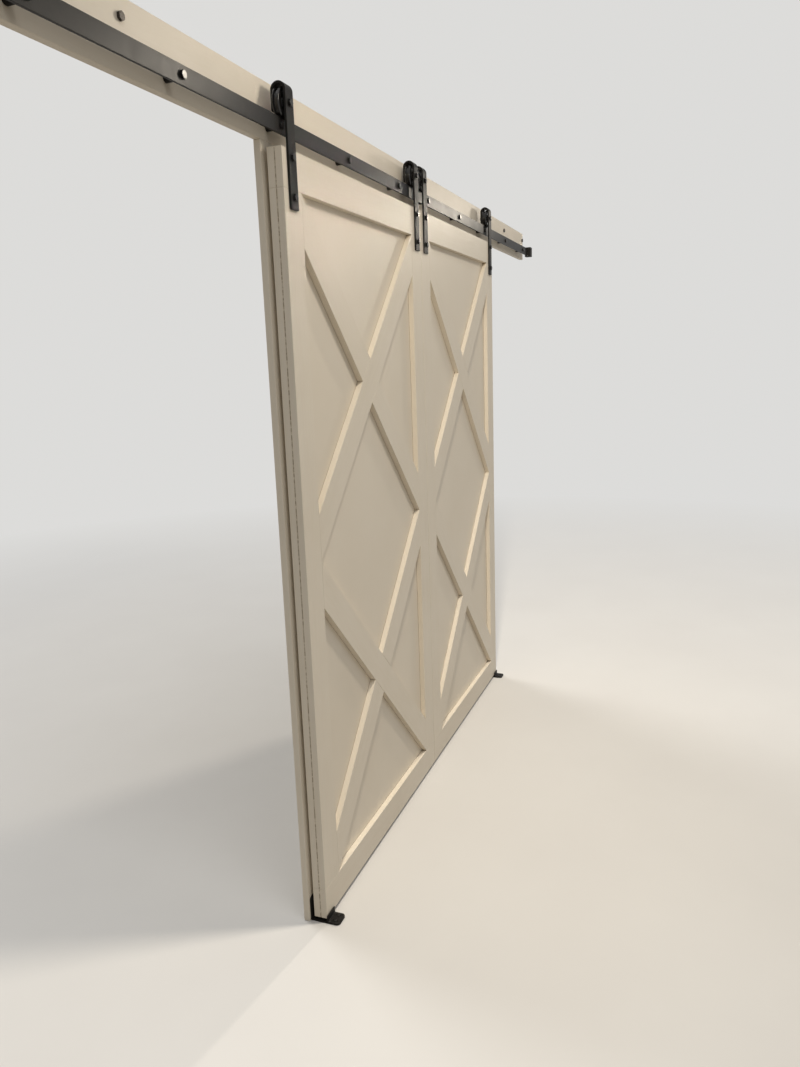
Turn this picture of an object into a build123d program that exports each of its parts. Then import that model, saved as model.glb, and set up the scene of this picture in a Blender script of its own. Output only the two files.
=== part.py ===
from build123d import *
import os
from math import sqrt

# A pair of sliding barn door leaves with rail, hangers, header board, casing and guides.
# Millimetres. X runs along the rail, Y points into the wall and Z is up.
# Heights are counted from the finished floor and Y from the wall plane. The origin is
# moved at the end to the centre of the head casing's back face.

# Leaves
leaf_width = 1016.0
leaf_height = 2134.0
leaf_gap = 3.0
leaf_floor_gap = 12.0
board_thickness = 19.0
panel_thickness = 3.2
member_width = 95.0
panel_inset = 1.2
board_ease = 0.8

# Rail, in two bars that butt a little left of the gap between the leaves
rail_joint = -25.4
rail_height = 40.0
rail_thickness = 6.0
rail_ease = 0.8
rail_above_leaf = 31.0
hole_pitch = 406.4
hole_end_margin = 152.4
holes_per_bar = 5
spacer_length = 34.0
spacer_radius = 10.0

# Header board, centred on the rail, and casing
header_length = 3907.0
header_height = 139.7
trim_thickness = 19.0
trim_ease = 1.0
rail_above_header_edge = 33.0
casing_width = 89.0
casing_reveal = 11.0
lag_above_header_edge = 102.0
lag_end_margin = 22.0
header_lag_pitch = 432.0

# Hexagon heads, lag screws, bolts and nuts
hex_across_flats = 16.0
hex_height = 6.4
hex_corner_cut = 1.1
nut_height = 5.0
shank_radius = 5.0
lag_thread_step = 0.3
lag_tip = 8.0
lag_reach = 44.5
rail_lag_bite = 17.0
bolt_proud = 1.0
bore_play = 0.5
snug_play = 0.1

# Strap hangers
strap_width = 40.0
strap_thickness = 6.0
strap_edge_offset = 45.0
strap_gap = 29.0
strap_bolt_drop = 21.0
strap_bolt_pitch = 93.0
strap_foot = 30.0
strap_corner = 3.0
loop_rise = 28.0
back_leg_drop = 19.0

# Wheels and bearings
groove_radius = 33.0
flange_height = 5.5
wheel_width = 20.0
groove_side_play = 1.0
groove_flare = 1.2
flange_cut = 2.5
rolling_gap = 0.3
hub_wall = 4.0
rim_wall = 6.0
web_recess = 2.5
bearing_radius = 13.0
bearing_width = 8.0
bearing_shoulder = 2.0
bearing_ring = 2.2
shield_recess = 0.6
running_clearance = 0.05
axial_play = 0.2
bush_wall = 1.9

# End stops
stop_length = 40.0
stop_end_inset = 2.0
stop_front = 19.5
stop_back = 7.5
stop_wall = 5.0
stop_play = 0.3
stop_ease = 1.5
set_screw_radius = 3.0
set_screw_spacing = 20.0
set_screw_recess = 1.0
set_screw_socket = 3.0
set_screw_socket_depth = 3.5

# Floor guides
guide_width = 50.0
guide_plate = 3.0
guide_height = 75.0
guide_overhang = 5.0
guide_corner = 10.0
guide_bend = 2.5
lip_play = 2.0
lip_height = 24.0
foot_length = 39.0
foot_corner = 12.0
slot_radius = 2.8
slot_length = 16.0
foot_screw_spacing = 24.0
guide_screw_rise = 32.0
guide_screw_pitch = 26.0
small_head_radius = 4.5
small_head_height = 2.4
small_head_round = 1.2
small_shank_radius = 2.4
wood_screw_depth = 14.0

# Heights
leaf_bottom = leaf_floor_gap
leaf_top = leaf_bottom + leaf_height
leaf_middle = leaf_bottom + leaf_height / 2
rail_bottom = leaf_top + rail_above_leaf
rail_centre = rail_bottom + rail_height / 2
rail_top = rail_bottom + rail_height
header_bottom = rail_centre - rail_above_header_edge
lag_height = header_bottom + lag_above_header_edge
axle_height = rail_top + rolling_gap + groove_radius
loop_centre = axle_height + loop_rise
upper_bolt_height = leaf_top - strap_bolt_drop
lower_bolt_height = upper_bolt_height - strap_bolt_pitch
strap_bottom = lower_bolt_height - strap_foot
back_leg_bottom = axle_height - back_leg_drop

# Depths, negative towards the room
trim_front = -trim_thickness
rail_back = trim_front - spacer_length
rail_middle = rail_back - rail_thickness / 2
rail_front = rail_back - rail_thickness
leaf_front = rail_middle - strap_gap / 2
leaf_panel_front = leaf_front + board_thickness
leaf_panel_back = leaf_panel_front + panel_thickness
leaf_back = leaf_panel_back + board_thickness
strap_front = leaf_front - strap_thickness
strap_back = leaf_front + strap_gap + strap_thickness

# Places of the left half, the rail's and the header board's counted from the rail's joint
leaf_inner = -leaf_gap / 2
leaf_outer = leaf_inner - leaf_width
bar_length = 2 * hole_end_margin + (holes_per_bar - 1) * hole_pitch
bar_holes = [-hole_end_margin - i * hole_pitch for i in range(holes_per_bar)]
outer_lag = -header_length / 2 + lag_end_margin
header_lags = [outer_lag, outer_lag + header_lag_pitch]
hanger_places = {"outer": leaf_outer + strap_edge_offset, "inner": leaf_inner - strap_edge_offset}
casing_outer = leaf_outer - casing_reveal
casing_inner = casing_outer + casing_width
stop_outer_face = -bar_length + stop_end_inset
stop_inner_face = stop_outer_face + stop_length
guide_outer = leaf_outer - guide_overhang

# Radii that follow the shanks
lag_thread_radius = shank_radius - lag_thread_step
bush_bore = shank_radius + snug_play
bush_radius = bush_bore + bush_wall

# Origin of the finished part, above the floor
origin_height = header_bottom - casing_width / 2

nodes = {}


def block(x0, x1, y0, y1, z0, z1):
    """A box from its lowest to its highest corner."""
    return Pos(x0, y0, z0) * Box(x1 - x0, y1 - y0, z1 - z0, align=(Align.MIN,) * 3)


def rod(radius, length):
    """A round bar from z = 0 downwards."""
    return Cylinder(radius, length, align=(Align.CENTER, Align.CENTER, Align.MAX))


def into_wall(x, y, z):
    """Turn what hangs below z = 0 towards the wall, and place it."""
    return Pos(x, y, z) * Rot(90, 0, 0)


def turned(points):
    """A solid of revolution about Z from its half section."""
    outline = Polyline(*points, close=True)
    return revolve(make_face(Plane.XZ * outline), Axis.Z)


def group(solids):
    """Several like pieces that are kept together."""
    return Compound(children=list(solids))


def both_sides(shape):
    """A left-hand piece with its mirror image."""
    return [shape, mirror(shape, about=Plane.YZ)]


def at_joint(shape):
    """Move what is drawn about x = 0 to the rail's joint."""
    return Pos(rail_joint, 0, 0) * shape


def add_pair(name, shape):
    """Keep a left-hand piece and its mirror image as two pieces."""
    for side, piece in zip(("left_", "right_"), both_sides(shape)):
        nodes[side + name] = piece


def add_rail_pair(name, shape):
    """Keep a left-hand piece and its mirror image about the rail's joint as two pieces."""
    for side, piece in zip(("left_", "right_"), both_sides(shape)):
        nodes[side + name] = at_joint(piece)


def hexagon(height):
    """A hexagon head or nut blank on z = 0, with its upper corners cut back."""
    blank = extrude(RegularPolygon(hex_across_flats / 2, 6, major_radius=False), height)
    disc = Cylinder(hex_across_flats / sqrt(3), height, align=(Align.CENTER, Align.CENTER, Align.MIN))
    disc = chamfer(disc.edges().sort_by(Axis.Z)[-1:], hex_corner_cut)
    return blank & disc


def hex_bolt(length):
    """A hex head on a plain shank."""
    return hexagon(hex_height) + rod(shank_radius, length)


def hex_nut():
    """A thin nut below z = 0, its cut corners away from its seat."""
    return Rot(180, 0, 0) * (hexagon(nut_height) - Rot(180, 0, 0) * rod(shank_radius + snug_play, nut_height))


def lag_screw(plain, thread):
    """A hex lag screw: plain shank, threaded stretch and gimlet point."""
    shank = turned([
        (0, 0), (shank_radius, 0), (shank_radius, -plain), (lag_thread_radius, -plain),
        (lag_thread_radius, -plain - thread + lag_tip), (0, -plain - thread),
    ])
    return hexagon(hex_height) + shank


def small_screw(depth):
    """A small screw with a rounded pan head."""
    head = Cylinder(small_head_radius, small_head_height, align=(Align.CENTER, Align.CENTER, Align.MIN))
    head = fillet(head.edges().sort_by(Axis.Z)[-1:], small_head_round)
    return head + rod(small_shank_radius, depth)


def leaf_bolt_places():
    """Centres of the strap bolts of the left leaf."""
    heights = (upper_bolt_height, lower_bolt_height)
    return [(x, z) for x in hanger_places.values() for z in heights]


def leaf_bores():
    """Cutters for the strap bolts, through the whole leaf."""
    depth = leaf_back - leaf_front
    return [into_wall(x, leaf_front, z) * rod(shank_radius + bore_play, depth) for x, z in leaf_bolt_places()]


def board(x0, x1, z0, z1, y0, y1):
    """One eased board of a leaf, bored for the strap bolts that pass it."""
    plank = block(x0, x1, y0, y1, z0, z1)
    return chamfer(plank.edges(), board_ease) - leaf_bores()


def brace_outline(x_high, x_low, z_high, z_low):
    """A brace across an opening, with upright ends against the stiles.

    Its upper edge starts in the corner (x_high, z_high) and its lower edge ends in the
    corner (x_low, z_low), so that its width sets its slope.
    """
    run = abs(x_low - x_high)
    drop = z_high - z_low
    slope = (run * drop - member_width * sqrt(run**2 + drop**2 - member_width**2)) / (run**2 - member_width**2)
    upright = member_width * sqrt(1 + slope**2)
    corners = [(x_high, z_high), (x_high, z_high - upright), (x_low, z_low), (x_low, z_low + upright)]
    return Polyline(*corners, close=True)


def brace(x_high, x_low, z_high, z_low):
    """A brace of board thickness in the front frame of a leaf."""
    face = make_face(Plane.XZ * brace_outline(x_high, x_low, z_high, z_low))
    return Pos(0, leaf_front, 0) * extrude(face, board_thickness, dir=(0, 1, 0))


def crossed_braces(whole, halved):
    """A whole brace, and the two halves of the one that it crosses."""
    halves = halved - whole
    return chamfer(whole.edges(), board_ease), chamfer(halves.edges(), board_ease)


def add_leaves():
    """Both leaves: centre panel, front frame with two X braces, and back frame."""
    left, right = leaf_outer, leaf_inner
    stile_left = left + member_width
    stile_right = right - member_width
    open_top = leaf_top - member_width
    open_bottom = leaf_bottom + member_width

    front = (leaf_front, leaf_panel_front)
    back = (leaf_panel_back, leaf_back)
    panel = block(
        left + panel_inset, right - panel_inset, leaf_panel_front, leaf_panel_back,
        leaf_bottom + panel_inset, leaf_top - panel_inset,
    )
    add_pair("panel", panel - leaf_bores())
    add_pair("front_top_rail", board(left, right, open_top, leaf_top, *front))
    add_pair("front_bottom_rail", board(left, right, leaf_bottom, open_bottom, *front))
    add_pair("front_outer_stile", board(left, stile_left, open_bottom, open_top, *front))
    add_pair("front_inner_stile", board(stile_right, right, open_bottom, open_top, *front))

    rising = brace(stile_right, stile_left, open_top, leaf_middle)
    falling = brace(stile_left, stile_right, open_top, leaf_middle)
    whole, halves = crossed_braces(rising, falling)
    add_pair("upper_brace", whole)
    add_pair("upper_half_braces", halves)

    rising = brace(stile_right, stile_left, leaf_middle, open_bottom)
    falling = brace(stile_left, stile_right, leaf_middle, open_bottom)
    whole, halves = crossed_braces(falling, rising)
    add_pair("lower_brace", whole)
    add_pair("lower_half_braces", halves)

    back_rails = [
        board(left, right, open_top, leaf_top, *back),
        board(left, right, leaf_bottom, open_bottom, *back),
    ]
    back_stiles = [
        board(left, stile_left, open_bottom, open_top, *back),
        board(stile_right, right, open_bottom, open_top, *back),
    ]
    add_pair("back_rails", group(back_rails))
    add_pair("back_stiles", group(back_stiles))


def strap():
    """A flat bar bent over the wheel, its long leg on the leaf, centred on x = 0."""
    inner = strap_gap / 2
    outer = inner + strap_thickness
    ring = Circle(outer) - Circle(inner)
    arch = Pos(rail_middle, loop_centre) * (ring & Pos(0, outer / 2) * Rectangle(2 * outer, outer))
    corner = (Align.MIN, Align.MIN)
    front = Pos(strap_front, strap_bottom) * Rectangle(strap_thickness, loop_centre - strap_bottom, align=corner)
    back = Pos(strap_back - strap_thickness, back_leg_bottom) * Rectangle(
        strap_thickness, loop_centre - back_leg_bottom, align=corner
    )
    bar = extrude(Plane.YZ * (arch + front + back), strap_width / 2, both=True)
    bar = fillet(bar.edges().filter_by(Axis.Y), strap_corner)
    depth = strap_back - strap_front
    bar -= into_wall(0, strap_front, axle_height) * rod(shank_radius + snug_play, depth)
    for height in (upper_bolt_height, lower_bolt_height):
        bar -= into_wall(0, strap_front, height) * rod(shank_radius + snug_play, strap_thickness)
    return bar


def wheel():
    """A grooved wheel about Z, bored from above for its bearing."""
    half = wheel_width / 2
    groove = rail_thickness / 2 + groove_side_play
    flange = groove_radius + flange_height
    hub = bearing_radius + hub_wall
    rim = groove_radius - rim_wall
    web = half - web_recess
    shoulder = bearing_radius - bearing_shoulder
    return turned([
        (bearing_radius, half), (hub, half), (hub, web), (rim, web), (rim, half),
        (flange - flange_cut, half), (flange, half - flange_cut), (flange, groove + groove_flare),
        (groove_radius, groove), (groove_radius, -groove), (flange, -groove - groove_flare),
        (flange, flange_cut - half), (flange - flange_cut, -half), (rim, -half), (rim, -web),
        (hub, -web), (hub, -half), (shoulder, -half), (shoulder, -bearing_width / 2),
        (bearing_radius, -bearing_width / 2),
    ])


def bearing():
    """A sealed ball bearing about Z, its shields set back between the rings."""
    half = bearing_width / 2
    shield = half - shield_recess
    bore = shank_radius + running_clearance
    inner = bore + bearing_ring
    outer = bearing_radius - bearing_ring
    return turned([
        (bore, half), (inner, half), (inner, shield), (outer, shield), (outer, half), (bearing_radius, half),
        (bearing_radius, -half), (outer, -half), (outer, -shield), (inner, -shield), (inner, -half), (bore, -half),
    ])


def bush():
    """A distance bush below z = 0, from a strap leg to the bearing."""
    length = (strap_gap - bearing_width) / 2 - axial_play
    return rod(bush_radius, length) - rod(bush_bore, length)


def add_hangers():
    """Straps, rollers, and the fasteners that they need."""
    axle_bolts = []
    bushes = []
    nuts = []
    back_leg_face = strap_back - strap_thickness
    for place, x in hanger_places.items():
        add_pair(place + "_strap", Pos(x, 0, 0) * strap())
        add_pair(place + "_wheel", into_wall(x, rail_middle, axle_height) * wheel())
        add_pair(place + "_bearing", into_wall(x, rail_middle, axle_height) * bearing())
        axle_length = strap_back - strap_front + nut_height + bolt_proud
        axle_bolts.append(into_wall(x, strap_front, axle_height) * hex_bolt(axle_length))
        bushes.append(into_wall(x, leaf_front, axle_height) * bush())
        bushes.append(into_wall(x, back_leg_face, axle_height) * Rot(180, 0, 0) * bush())
        nuts.append(into_wall(x, strap_back, axle_height) * hex_nut())
    bolt_length = leaf_back - strap_front + nut_height + bolt_proud
    places = leaf_bolt_places()
    strap_bolts = [into_wall(x, strap_front, z) * hex_bolt(bolt_length) for x, z in places]
    nuts += [into_wall(x, leaf_back, z) * hex_nut() for x, z in places]
    add_pair("axle_bolts", group(axle_bolts))
    add_pair("bushes", group(bushes))
    add_pair("strap_bolts", group(strap_bolts))
    add_pair("nuts", group(nuts))


def add_rail():
    """The two rail bars, their spacers and their lag screws."""
    bar = block(-bar_length, 0, rail_front, rail_back, rail_bottom, rail_top)
    bar = chamfer(bar.edges().filter_by(Axis.X), rail_ease)
    spacers = []
    screws = []
    for x in bar_holes:
        bar -= into_wall(x, rail_front, rail_centre) * rod(shank_radius + bore_play, rail_thickness)
        tube = rod(spacer_radius, spacer_length) - rod(shank_radius + bore_play, spacer_length)
        screw = lag_screw(rail_thickness + spacer_length, rail_lag_bite)
        spacers += both_sides(into_wall(x, rail_back, rail_centre) * tube)
        screws += both_sides(into_wall(x, rail_front, rail_centre) * screw)
    add_rail_pair("rail", bar)
    nodes["rail_spacers"] = at_joint(group(spacers))
    nodes["rail_screws"] = at_joint(group(screws))


def add_header():
    """The header board, bored for the rail screws and for its own lag screws."""
    half = header_length / 2
    plank = block(-half, half, trim_front, 0, header_bottom, header_bottom + header_height)
    plank = chamfer(plank.edges(), trim_ease)
    for x in bar_holes:
        plank -= both_sides(into_wall(x, trim_front, rail_centre) * rod(shank_radius, rail_lag_bite + bore_play))
    screws = []
    for x in header_lags:
        plank -= both_sides(into_wall(x, trim_front, lag_height) * rod(shank_radius + snug_play, trim_thickness))
        screws += both_sides(into_wall(x, trim_front, lag_height) * lag_screw(trim_thickness, lag_reach))
    nodes["header_board"] = at_joint(plank)
    nodes["header_screws"] = at_joint(group(screws))


def guide_screw_places():
    """Centres of the screws that hold the left guide to the casing."""
    x = guide_outer + guide_width / 2
    return [(x, guide_screw_rise), (x, guide_screw_rise + guide_screw_pitch)]


def add_casing():
    """The doorway casing: two legs under the header board and a head between them."""
    leg = block(casing_outer, casing_inner, trim_front, 0, 0, header_bottom)
    leg = chamfer(leg.edges(), trim_ease)
    for x, z in guide_screw_places():
        leg -= into_wall(x, trim_front, z) * rod(small_shank_radius + snug_play, wood_screw_depth + bore_play)
    add_pair("casing", leg)
    head = block(casing_inner, -casing_inner, trim_front, 0, header_bottom - casing_width, header_bottom)
    nodes["head_casing"] = chamfer(head.edges(), trim_ease)


def add_end_stops():
    """A block slid over each end of the rail and held by two set screws."""
    y0 = rail_front - stop_front
    y1 = rail_back + stop_back
    body = block(stop_outer_face, stop_inner_face, y0, y1, rail_bottom - stop_wall, rail_top + stop_wall)
    body = chamfer(body.edges(), stop_ease)
    body -= block(
        stop_outer_face, stop_inner_face, rail_front - stop_play, rail_back + stop_play,
        rail_bottom - stop_play, rail_top + stop_play,
    )
    middle = (stop_outer_face + stop_inner_face) / 2
    screw = rod(set_screw_radius, stop_front - set_screw_recess)
    socket = extrude(RegularPolygon(set_screw_socket / 2, 6, major_radius=False), -set_screw_socket_depth)
    screws = []
    for x in (middle - set_screw_spacing / 2, middle + set_screw_spacing / 2):
        body -= into_wall(x, y0, rail_centre) * rod(set_screw_radius + snug_play, stop_front)
        screws += both_sides(into_wall(x, y0 + set_screw_recess, rail_centre) * (screw - socket))
    add_rail_pair("end_stop", body)
    nodes["stop_screws"] = at_joint(group(screws))


def folded_plate(upright_y, tip_y, base_z, top_z):
    """A plate folded once: an upright whose back is at upright_y, and a foot out to tip_y."""
    corner = (Align.MIN, Align.MIN)
    upright = Pos(upright_y - guide_plate, base_z) * Rectangle(guide_plate, top_z - base_z, align=corner)
    foot = Pos(tip_y, base_z) * Rectangle(upright_y - tip_y, guide_plate, align=corner)
    section = upright + foot
    inside = section.vertices().sort_by_distance((upright_y - guide_plate, base_z + guide_plate, 0))[0]
    section = fillet(inside, guide_bend)
    outside = section.vertices().sort_by_distance((upright_y, base_z, 0))[0]
    section = fillet(outside, guide_bend + guide_plate)
    plate = Pos(guide_outer, 0, 0) * extrude(Plane.YZ * section, guide_width)
    return fillet(plate.edges().filter_by(Axis.Z).group_by(Axis.Y)[0], foot_corner)


def add_guides():
    """Floor guides: a bracket on the casing with an arm under the leaf, and a lip in front."""
    lip_face = leaf_front - lip_play
    tip = lip_face - foot_length
    bracket = folded_plate(trim_front, tip, 0, guide_height)
    bracket = fillet(bracket.edges().filter_by(Axis.Y).group_by(Axis.Z)[-1], guide_corner)
    lip = folded_plate(lip_face, tip, guide_plate, lip_height)

    slot_y = (lip_face - guide_plate + tip) / 2
    foot_top = 2 * guide_plate
    foot_screws = []
    middle = guide_outer + guide_width / 2
    for x in (middle - foot_screw_spacing / 2, middle + foot_screw_spacing / 2):
        slot = extrude(Rot(0, 0, 90) * SlotOverall(slot_length, 2 * slot_radius), guide_plate)
        lip -= Pos(x, slot_y, guide_plate) * slot
        bracket -= Pos(x, slot_y, guide_plate) * rod(small_shank_radius + snug_play, guide_plate)
        foot_screws += both_sides(Pos(x, slot_y, foot_top) * small_screw(foot_top))
    wall_screws = []
    for x, z in guide_screw_places():
        bracket -= into_wall(x, trim_front - guide_plate, z) * rod(small_shank_radius + snug_play, guide_plate)
        screw = small_screw(guide_plate + wood_screw_depth)
        wall_screws += both_sides(into_wall(x, trim_front - guide_plate, z) * screw)
    add_pair("guide_bracket", bracket)
    add_pair("guide_lip", lip)
    nodes["guide_foot_screws"] = group(foot_screws)
    nodes["guide_wall_screws"] = group(wall_screws)


add_header()
add_casing()
add_rail()
add_end_stops()
add_guides()
add_leaves()
add_hangers()

os.makedirs("parts", exist_ok=True)
for name, shape in nodes.items():
    export_step(Pos(0, 0, -origin_height) * shape, f"parts/{name}.step")
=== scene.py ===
"""Finishes and fine pieces for a pair of sliding barn door leaves on a flat rail.

Metres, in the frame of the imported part: X runs along the rail, Y points to the back, Z is
up, and the origin is the centre of the head casing's back face.
"""

import logging
from dataclasses import dataclass
from enum import Enum
from math import cos, pi, radians, sin, sqrt
from random import Random
from typing import Callable, Iterable, Sequence

import bmesh
import bpy
from bmesh.types import BMEdge, BMesh, BMFace, BMVert
from mathutils import Matrix, Vector


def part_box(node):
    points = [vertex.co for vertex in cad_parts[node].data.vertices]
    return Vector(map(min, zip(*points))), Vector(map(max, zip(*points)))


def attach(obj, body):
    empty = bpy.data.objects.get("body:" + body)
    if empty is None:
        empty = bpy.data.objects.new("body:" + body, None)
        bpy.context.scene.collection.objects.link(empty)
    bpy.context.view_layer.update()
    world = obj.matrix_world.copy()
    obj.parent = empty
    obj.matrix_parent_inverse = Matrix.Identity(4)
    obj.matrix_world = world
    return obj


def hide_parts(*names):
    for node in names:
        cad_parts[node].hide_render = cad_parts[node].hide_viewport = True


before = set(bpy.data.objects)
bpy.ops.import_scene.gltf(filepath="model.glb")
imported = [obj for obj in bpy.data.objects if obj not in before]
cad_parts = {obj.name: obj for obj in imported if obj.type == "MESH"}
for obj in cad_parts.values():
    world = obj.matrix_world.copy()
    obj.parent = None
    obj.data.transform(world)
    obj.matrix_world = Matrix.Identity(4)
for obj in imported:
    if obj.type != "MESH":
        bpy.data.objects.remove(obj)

log = logging.getLogger("barn_door")
MM = 0.001
FLOOR = -2119.5 * MM
# How far apart places may be that count as one, in a search and when points are merged.
NEAR = 0.05 * MM
MERGE = 0.001 * MM
# How far a shank runs on inside its head.
OVERLAP = 1 * MM
# A hexagon head looks the same again after this turn.
HEX_TURN = pi / 3
# The colour sockets of a Mix node, by number because others have the same names.
MIX_FIRST, MIX_SECOND, MIX_RESULT = 6, 7, 2
Point = tuple[float, float]
Place = tuple[float, float, float]
Colour = tuple[float, ...]
Socket = bpy.types.NodeSocket


class Side(Enum):
    """The two halves of the door, with the sign of their X."""

    LEFT = -1
    RIGHT = 1

    @property
    def prefix(self) -> str:
        """What the names of this half's nodes and bodies start with."""
        return self.name.lower() + "_"


class Run(Enum):
    """The way a board's grain and brush strokes run, in degrees above the rail's line."""

    LEVEL = 0.0
    UPRIGHT = 90.0
    RISING = 45.37
    FALLING = -45.37

    @property
    def mirrored(self) -> "Run":
        """The same way on the other half of the door."""
        return {Run.RISING: Run.FALLING, Run.FALLING: Run.RISING}.get(self, self)


# Node materials


def rgb(red: float, green: float, blue: float) -> Colour:
    """A full colour from its linear parts."""
    return red, green, blue, 1.0


@dataclass(frozen=True)
class Pattern:
    """A noise pattern: waves a metre, octaves and their strength, and its stretch by axis."""

    scale: float
    detail: float = 2.0
    roughness: float = 0.5
    stretch: Sequence[float] = (1, 1, 1)


class Graph:
    """A node tree in the making."""

    def __init__(self, tree: bpy.types.NodeTree, output: str) -> None:
        """Start the tree afresh.

        Args:
            tree: the tree.
            output: the type name of its output node.
        """
        self.tree = tree
        self.tree.nodes.clear()
        self.output = self.node(output)

    def node(self, kind: str, **settings: object) -> bpy.types.Node:
        """Add a node.

        Args:
            kind: the node's type name.
            settings: properties of the node to set.

        Returns:
            The new node.
        """
        node = self.tree.nodes.new(kind)
        for key, value in settings.items():
            setattr(node, key, value)
        return node

    def link(self, source: Socket, target: Socket) -> None:
        """Join two sockets."""
        self.tree.links.new(source, target)

    def feed(self, socket: Socket, value: object) -> None:
        """Give a socket its value.

        Args:
            socket: the socket.
            value: a plain value, or another socket to join it to.
        """
        if isinstance(value, bpy.types.NodeSocket):
            self.link(value, socket)
        else:
            socket.default_value = value

    def place(self, stretch: Sequence[float] = (1, 1, 1), run: float = 0.0) -> Socket:
        """Object coordinates, turned in the plane of the leaf and stretched.

        Args:
            stretch: how many times longer a pattern gets along each turned axis.
            run: the turn about Y, in degrees above X.

        Returns:
            The coordinates' socket.
        """
        mapping = self.node("ShaderNodeMapping", vector_type="TEXTURE")
        mapping.inputs["Rotation"].default_value = (0, -radians(run), 0)
        mapping.inputs["Scale"].default_value = stretch
        self.link(self.node("ShaderNodeTexCoord").outputs["Object"], mapping.inputs["Vector"])
        return mapping.outputs["Vector"]

    def noise(self, pattern: Pattern, run: float = 0.0) -> Socket:
        """Lay a noise pattern over the piece.

        Args:
            pattern: the pattern.
            run: its turn about Y, in degrees above X.

        Returns:
            The value's socket, from 0 to 1.
        """
        noise = self.node("ShaderNodeTexNoise")
        for key in ("scale", "detail", "roughness"):
            noise.inputs[key.title()].default_value = getattr(pattern, key)
        self.link(self.place(pattern.stretch, run), noise.inputs["Vector"])
        return noise.outputs["Fac"]

    def ramp(self, value: Socket, low: float, high: float, start: float = 0.0, end: float = 1.0) -> Socket:
        """Spread a value from one range to another, clamped.

        Args:
            value: the value's socket.
            low: where the first range starts.
            high: where the first range ends.
            start: where the new range starts.
            end: where the new range ends.

        Returns:
            The new value's socket.
        """
        spread = self.node("ShaderNodeMapRange")
        self.link(value, spread.inputs["Value"])
        for key, number in (("From Min", low), ("From Max", high), ("To Min", start), ("To Max", end)):
            spread.inputs[key].default_value = number
        return spread.outputs["Result"]

    def maths(self, operation: str, first: object, *others: object) -> Socket:
        """Run values through a sum, product or other operation, one after another.

        Args:
            operation: Blender's name of the operation.
            first: the first value, or its socket.
            others: the others.

        Returns:
            The result's socket.
        """
        result = first
        for value in others or (0.0,):
            maths = self.node("ShaderNodeMath", operation=operation)
            self.feed(maths.inputs[0], result)
            self.feed(maths.inputs[1], value)
            result = maths.outputs["Value"]
        return result

    def mix(self, share: Socket, first: object, second: object) -> Socket:
        """Mix two colours.

        Args:
            share: how much of the second colour shows.
            first: the first colour, or its socket.
            second: the second colour, or its socket.

        Returns:
            The colour's socket.
        """
        mix = self.node("ShaderNodeMix", data_type="RGBA")
        self.feed(mix.inputs["Factor"], share)
        self.feed(mix.inputs[MIX_FIRST], first)
        self.feed(mix.inputs[MIX_SECOND], second)
        return mix.outputs[MIX_RESULT]

    def axis(self, vector: Socket, name: str) -> Socket:
        """One axis of a vector, by its letter."""
        split = self.node("ShaderNodeSeparateXYZ")
        self.link(vector, split.inputs["Vector"])
        return split.outputs[name]

    def bump(self, height: Socket, depth: float, strength: float, over: Socket | None = None) -> Socket:
        """Turn a height into a relief.

        Args:
            height: the height's socket, from 0 to 1.
            depth: the relief's depth, in metres.
            strength: how much of it shows.
            over: another relief that it lies on.

        Returns:
            The normal's socket.
        """
        bump = self.node("ShaderNodeBump")
        bump.inputs["Strength"].default_value = strength
        bump.inputs["Distance"].default_value = depth
        self.link(height, bump.inputs["Height"])
        if over:
            self.link(over, bump.inputs["Normal"])
        return bump.outputs["Normal"]

    def occlusion_shade(self, reach: float, shallow: float = 0.72, deep: float = 0.3) -> Socket:
        """Painted shade's mask, from ambient occlusion: a value that is 1 deep in joints and inner corners,
        and 0 on open faces.

        Args:
            reach: how far from a corner it starts.
            shallow: how open the place is where it leaves 0.
            deep: how open the place is where it reaches 1.

        Returns:
            The value's socket.
        """
        hidden = self.node("ShaderNodeAmbientOcclusion", samples=6)
        hidden.inputs["Distance"].default_value = reach
        return self.ramp(hidden.outputs["AO"], shallow, deep)

    def seen(self) -> Socket:
        """A value that is 1 to the camera, in reflections and through glass, and 0 to all else."""
        path = self.node("ShaderNodeLightPath").outputs
        return self.maths("MAXIMUM", *(path[f"Is {ray} Ray"] for ray in ("Camera", "Glossy", "Transmission")))

    def blend(self, share: Socket, first: Socket, second: Socket) -> None:
        """Show a mix of two shaders.

        Args:
            share: how much of the second shader shows.
            first: the first shader.
            second: the second shader.
        """
        blend = self.node("ShaderNodeMixShader")
        for number, socket in enumerate((share, first, second)):
            self.link(socket, blend.inputs[number])
        self.link(blend.outputs["Shader"], self.output.inputs["Surface"])


class Surface(Graph):
    """A material in the making, around one Principled surface."""

    def __init__(self, name: str) -> None:
        """Start the material.

        Args:
            name: the material's name.
        """
        self.material = bpy.data.materials.new(name)
        self.material.use_nodes = True
        super().__init__(self.material.node_tree, "ShaderNodeOutputMaterial")
        self.surface = self.node("ShaderNodeBsdfPrincipled")
        self.link(self.surface.outputs["BSDF"], self.output.inputs["Surface"])

    def set(self, **values: object) -> bpy.types.Material:
        """Set the surface's inputs.

        Args:
            values: the inputs' values or sockets, with underscores for spaces in their names.

        Returns:
            The material.
        """
        for key, value in values.items():
            self.feed(self.surface.inputs[key.replace("_", " ")], value)
        return self.material


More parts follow.
